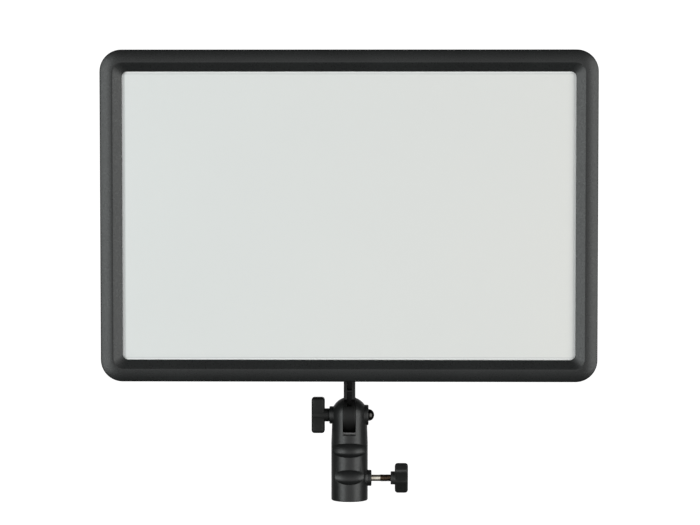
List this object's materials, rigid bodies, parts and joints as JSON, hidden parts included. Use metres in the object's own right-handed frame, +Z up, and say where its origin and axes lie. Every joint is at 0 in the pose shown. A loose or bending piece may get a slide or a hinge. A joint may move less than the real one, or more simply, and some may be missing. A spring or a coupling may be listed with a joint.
{
  "type": "led panel light",
  "caption": "Slim edge-lit LED panel light with an opal diffuser, on a tilting fork adapter that clamps onto a light-stand spigot.",
  "frame": {"origin": "centre of the stand socket's mouth, on the adapter's bottom face", "axes": "+Z up along the stand socket, the light shines towards -Y, +X along the tilt axis towards the bolt head and the stand lock"},
  "size_m": [0.34, 0.052, 0.3125],
  "materials": {
    "casing_plastic": "fine moulded texture, satin black",
    "adapter_plastic": "glass-filled nylon, satin charcoal black",
    "knob_plastic": "moulded black with stippled grips",
    "arm_plastic": "smooth moulded black",
    "diffuser_opal": "milky white with a very fine dot texture",
    "guide_acrylic": "clear polished",
    "reflector_film": "white film",
    "sheet_aluminium": "rolled sheet",
    "zinc_steel": "zinc plated",
    "black_steel": "black oxide, glossy",
    "nickel_brass": "machined",
    "board_laminate": "green circuit board",
    "strip_laminate": "white circuit board",
    "display_glass": "smoked clear window",
    "display_stack": "liquid crystal module",
    "lead_insulation": "red wire insulation"
  },
  "bodies": {
    "root": {"adapter_body": "adapter_plastic", "tilt_bolt": "black_steel", "stand_lock_insert": "nickel_brass"},
    "head": {"arm_backing_plate": "zinc_steel", "arm_screw_1": "black_steel", "arm_screw_2": "black_steel", "arm_screw_3": "black_steel", "arm_screw_4": "black_steel", "battery_contact_1": "nickel_brass", "battery_contact_2": "nickel_brass", "battery_contact_3": "nickel_brass", "battery_plate": "casing_plastic", "brightness_encoder": "zinc_steel", "casing_screw_1": "black_steel", "casing_screw_2": "black_steel", "casing_screw_3": "black_steel", "casing_screw_4": "black_steel", "casing_screw_5": "black_steel", "casing_screw_6": "black_steel", "casing_screw_7": "black_steel", "casing_screw_8": "black_steel", "colour_encoder": "zinc_steel", "control_housing": "casing_plastic", "dc_jack": "arm_plastic", "dial_board": "board_laminate", "diffuser": "diffuser_opal", "display_board": "board_laminate", "display_module": "display_stack", "display_window": "display_glass", "driver_board": "board_laminate", "front_frame": "casing_plastic", "heat_spreader": "sheet_aluminium", "housing_screw_1": "black_steel", "housing_screw_2": "black_steel", "housing_screw_3": "black_steel", "housing_screw_4": "black_steel", "latch_spring": "zinc_steel", "led_lead_left": "lead_insulation", "led_lead_right": "lead_insulation", "led_strip_left": "strip_laminate", "led_strip_right": "strip_laminate", "light_guide": "guide_acrylic", "mode_switch": "arm_plastic", "power_switch_case": "arm_plastic", "rear_cover": "casing_plastic", "reflector_sheet": "reflector_film", "tilt_arm": "arm_plastic"},
    "tilt_nut": {"tilt_knob_insert": "nickel_brass"},
    "tilt_knob": {"tilt_knob": "knob_plastic"},
    "stand_lock_screw": {"stand_lock_screw": "zinc_steel"},
    "stand_lock_knob": {"stand_lock_knob": "knob_plastic"},
    "brightness_dial": {"brightness_dial": "knob_plastic", "brightness_shaft": "zinc_steel"},
    "colour_dial": {"colour_dial": "knob_plastic", "colour_shaft": "zinc_steel"},
    "power_rocker": {"power_rocker": "arm_plastic"},
    "mode_button": {"mode_button": "knob_plastic"},
    "battery_latch": {"battery_latch": "knob_plastic"}
  },
  "joints": [
    {"name": "tilt", "type": "hinge", "parent": "root", "child": "head", "pos_m": [0, 0, 0.0594], "axis": [1, 0, 0], "range_deg": [-90, 90]},
    {"name": "tilt_nut_slide", "type": "slide", "parent": "root", "child": "tilt_nut", "axis": [-1, 0, 0], "range_m": [0, 0.0016]},
    {"name": "tilt_knob_turn", "type": "hinge", "parent": "tilt_nut", "child": "tilt_knob", "pos_m": [-0.0143, 0, 0.0594], "axis": [-1, 0, 0], "range_deg": [0, 720]},
    {"name": "stand_lock_slide", "type": "slide", "parent": "root", "child": "stand_lock_screw", "axis": [1, 0, 0], "range_m": [0, 0.0032]},
    {"name": "stand_lock_turn", "type": "hinge", "parent": "stand_lock_screw", "child": "stand_lock_knob", "pos_m": [0.0286, 0, 0.0154], "axis": [1, 0, 0], "range_deg": [0, 1440]},
    {"name": "brightness_turn", "type": "hinge", "parent": "head", "child": "brightness_dial", "pos_m": [-0.051, 0.009, 0.219], "axis": [0, 1, 0], "continuous": true},
    {"name": "colour_turn", "type": "hinge", "parent": "head", "child": "colour_dial", "pos_m": [-0.051, 0.009, 0.189], "axis": [0, 1, 0], "continuous": true},
    {"name": "power_rock", "type": "hinge", "parent": "head", "child": "power_rocker", "pos_m": [0.05, 0.008, 0.162], "axis": [1, 0, 0], "range_deg": [-20, 0]},
    {"name": "mode_press", "type": "slide", "parent": "head", "child": "mode_button", "axis": [0, -1, 0], "range_m": [0, 0.0008], "stiffness_N_per_m": 500, "springref_m": -0.0006},
    {"name": "latch_press", "type": "slide", "parent": "head", "child": "battery_latch", "axis": [0, -1, 0], "range_m": [0, 0.002], "stiffness_N_per_m": 600, "springref_m": -0.001, "deforming": ["latch_spring"]}
  ],
  "couplings": [
    {"joint": "tilt_knob_turn", "follows": "tilt_nut_slide", "rad_per_m": 7854},
    {"joint": "stand_lock_turn", "follows": "stand_lock_slide", "rad_per_m": 7854}
  ]
}
